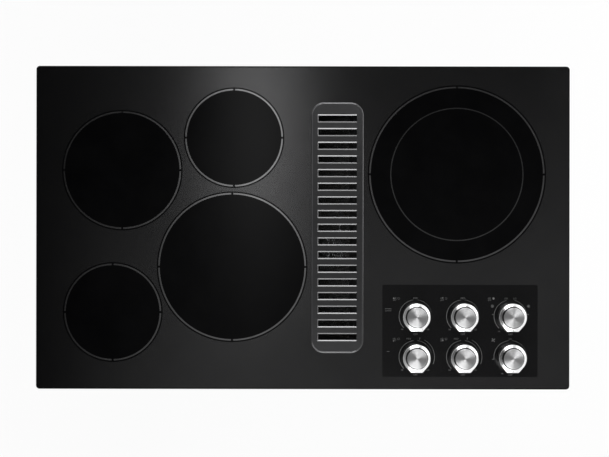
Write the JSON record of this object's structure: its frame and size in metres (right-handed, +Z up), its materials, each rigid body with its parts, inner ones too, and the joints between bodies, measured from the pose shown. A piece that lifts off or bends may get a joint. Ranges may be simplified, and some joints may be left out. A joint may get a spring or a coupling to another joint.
{
  "type": "downdraft electric cooktop",
  "caption": "Drop-in electric cooktop: black glass top with ring-marked elements, a centre vent grille over a filter, plenum and blower, and push-to-turn knobs.",
  "frame": {"origin": "centre of the glass outline, on the countertop plane that the seal rests on", "axes": "+X to the user's right along the glass, +Y to the rear, +Z up out of the countertop"},
  "size_m": [0.9176, 0.5556, 0.4456],
  "materials": {
    "ceramic_glass": "black glass ceramic with a satin grey print, glossy where bare",
    "foam_seal": "soft black foam tape",
    "galvanised_steel": "bright galvanised sheet",
    "element_steel": "plain pressed sheet",
    "insulation": "matt pressed ceramic fibre",
    "ribbon_alloy": "dull oxidised heating ribbon",
    "limiter_ceramic": "matt ceramic",
    "knob_metal": "satin metal with a spun top",
    "bright_steel": "bright machined",
    "cam_plastic": "moulded",
    "switch_plastic": "moulded",
    "grille_metal": "satin with polished edges",
    "filter_aluminium": "bare aluminium mesh and channel",
    "jar_plastic": "natural moulded plastic",
    "blower_paint": "black painted sheet",
    "wheel_steel": "galvanised",
    "damper_aluminium": "mill finish"
  },
  "bodies": {
    "root": {"glass_top": "ceramic_glass", "perimeter_seal": "foam_seal", "burner_box": "galvanised_steel", "control_bracket": "galvanised_steel", "plenum": "galvanised_steel", "outlet_collar": "galvanised_steel", "junction_box": "galvanised_steel", "junction_box_cover": "galvanised_steel", "hold_down_brackets": "galvanised_steel", "element_dish_left_rear": "element_steel", "element_insulation_left_rear": "insulation", "element_coil_left_rear": "ribbon_alloy", "element_dish_mid_rear": "element_steel", "element_insulation_mid_rear": "insulation", "element_coil_mid_rear": "ribbon_alloy", "element_dish_left_front": "element_steel", "element_insulation_left_front": "insulation", "element_coil_left_front": "ribbon_alloy", "element_dish_mid_front": "element_steel", "element_insulation_mid_front": "insulation", "element_coil_mid_front": "ribbon_alloy", "element_dish_right": "element_steel", "element_insulation_right": "insulation", "element_coil_right": "ribbon_alloy", "element_limiters": "limiter_ceramic", "switch_left_rear": "switch_plastic", "switch_mid_rear": "switch_plastic", "switch_right": "switch_plastic", "switch_left_front": "switch_plastic", "switch_mid_front": "switch_plastic", "switch_fan": "switch_plastic", "blower_housing": "blower_paint", "blower_inlet_cover": "blower_paint", "motor_body": "blower_paint", "screws": "bright_steel"},
    "grille": {"vent_grille": "grille_metal"},
    "filter": {"filter_frame": "filter_aluminium", "filter_mesh": "filter_aluminium"},
    "jar": {"overflow_jar": "jar_plastic"},
    "blower_rotor": {"blower_wheel": "wheel_steel", "motor_shaft": "bright_steel"},
    "damper": {"damper_flap": "damper_aluminium"},
    "cam_left_rear": {"switch_cam_left_rear": "cam_plastic"},
    "knob_left_rear": {"knob_left_rear": "knob_metal", "control_shaft_left_rear": "bright_steel"},
    "cam_mid_rear": {"switch_cam_mid_rear": "cam_plastic"},
    "knob_mid_rear": {"knob_mid_rear": "knob_metal", "control_shaft_mid_rear": "bright_steel"},
    "cam_right": {"switch_cam_right": "cam_plastic"},
    "knob_right": {"knob_right": "knob_metal", "control_shaft_right": "bright_steel"},
    "cam_left_front": {"switch_cam_left_front": "cam_plastic"},
    "knob_left_front": {"knob_left_front": "knob_metal", "control_shaft_left_front": "bright_steel"},
    "cam_mid_front": {"switch_cam_mid_front": "cam_plastic"},
    "knob_mid_front": {"knob_mid_front": "knob_metal", "control_shaft_mid_front": "bright_steel"},
    "cam_fan": {"switch_cam_fan": "cam_plastic"},
    "knob_fan": {"knob_fan": "knob_metal", "control_shaft_fan": "bright_steel"}
  },
  "joints": [
    {"name": "grille_lift", "type": "slide", "parent": "root", "child": "grille", "axis": [0, 0, 1], "range_m": [0, 0.25]},
    {"name": "filter_lift", "type": "slide", "parent": "root", "child": "filter", "axis": [0, 0, 1], "range_m": [0, 0.15]},
    {"name": "jar_drop", "type": "slide", "parent": "root", "child": "jar", "axis": [0, 0, -1], "range_m": [0, 0.06]},
    {"name": "blower_spin", "type": "hinge", "parent": "root", "child": "blower_rotor", "pos_m": [0.16, 0, -0.226], "axis": [1, 0, 0], "continuous": true},
    {"name": "damper_swing", "type": "hinge", "parent": "root", "child": "damper", "pos_m": [0.161, 0.2172, -0.334], "axis": [1, 0, 0], "range_deg": [0, 80]},
    {"name": "turn_left_rear", "type": "hinge", "parent": "root", "child": "cam_left_rear", "pos_m": [0.1938, -0.1519, 0], "axis": [0, 0, -1], "continuous": true},
    {"name": "push_left_rear", "type": "slide", "parent": "cam_left_rear", "child": "knob_left_rear", "axis": [0, 0, -1], "range_m": [0, 0.002], "stiffness_N_per_m": 800, "springref_m": -0.003},
    {"name": "turn_mid_rear", "type": "hinge", "parent": "root", "child": "cam_mid_rear", "pos_m": [0.2754, -0.1519, 0], "axis": [0, 0, -1], "continuous": true},
    {"name": "push_mid_rear", "type": "slide", "parent": "cam_mid_rear", "child": "knob_mid_rear", "axis": [0, 0, -1], "range_m": [0, 0.002], "stiffness_N_per_m": 800, "springref_m": -0.003},
    {"name": "turn_right", "type": "hinge", "parent": "root", "child": "cam_right", "pos_m": [0.357, -0.1519, 0], "axis": [0, 0, -1], "continuous": true},
    {"name": "push_right", "type": "slide", "parent": "cam_right", "child": "knob_right", "axis": [0, 0, -1], "range_m": [0, 0.002], "stiffness_N_per_m": 800, "springref_m": -0.003},
    {"name": "turn_left_front", "type": "hinge", "parent": "root", "child": "cam_left_front", "pos_m": [0.1938, -0.2217, 0], "axis": [0, 0, -1], "continuous": true},
    {"name": "push_left_front", "type": "slide", "parent": "cam_left_front", "child": "knob_left_front", "axis": [0, 0, -1], "range_m": [0, 0.002], "stiffness_N_per_m": 800, "springref_m": -0.003},
    {"name": "turn_mid_front", "type": "hinge", "parent": "root", "child": "cam_mid_front", "pos_m": [0.2754, -0.2217, 0], "axis": [0, 0, -1], "continuous": true},
    {"name": "push_mid_front", "type": "slide", "parent": "cam_mid_front", "child": "knob_mid_front", "axis": [0, 0, -1], "range_m": [0, 0.002], "stiffness_N_per_m": 800, "springref_m": -0.003},
    {"name": "turn_fan", "type": "hinge", "parent": "root", "child": "cam_fan", "pos_m": [0.357, -0.2217, 0], "axis": [0, 0, -1], "range_deg": [0, 300]},
    {"name": "push_fan", "type": "slide", "parent": "cam_fan", "child": "knob_fan", "axis": [0, 0, -1], "range_m": [0, 0.002], "stiffness_N_per_m": 800, "springref_m": -0.003}
  ],
  "couplings": [
    {"joint": "filter_lift", "follows": "grille_lift", "ratio": 0.6}
  ]
}
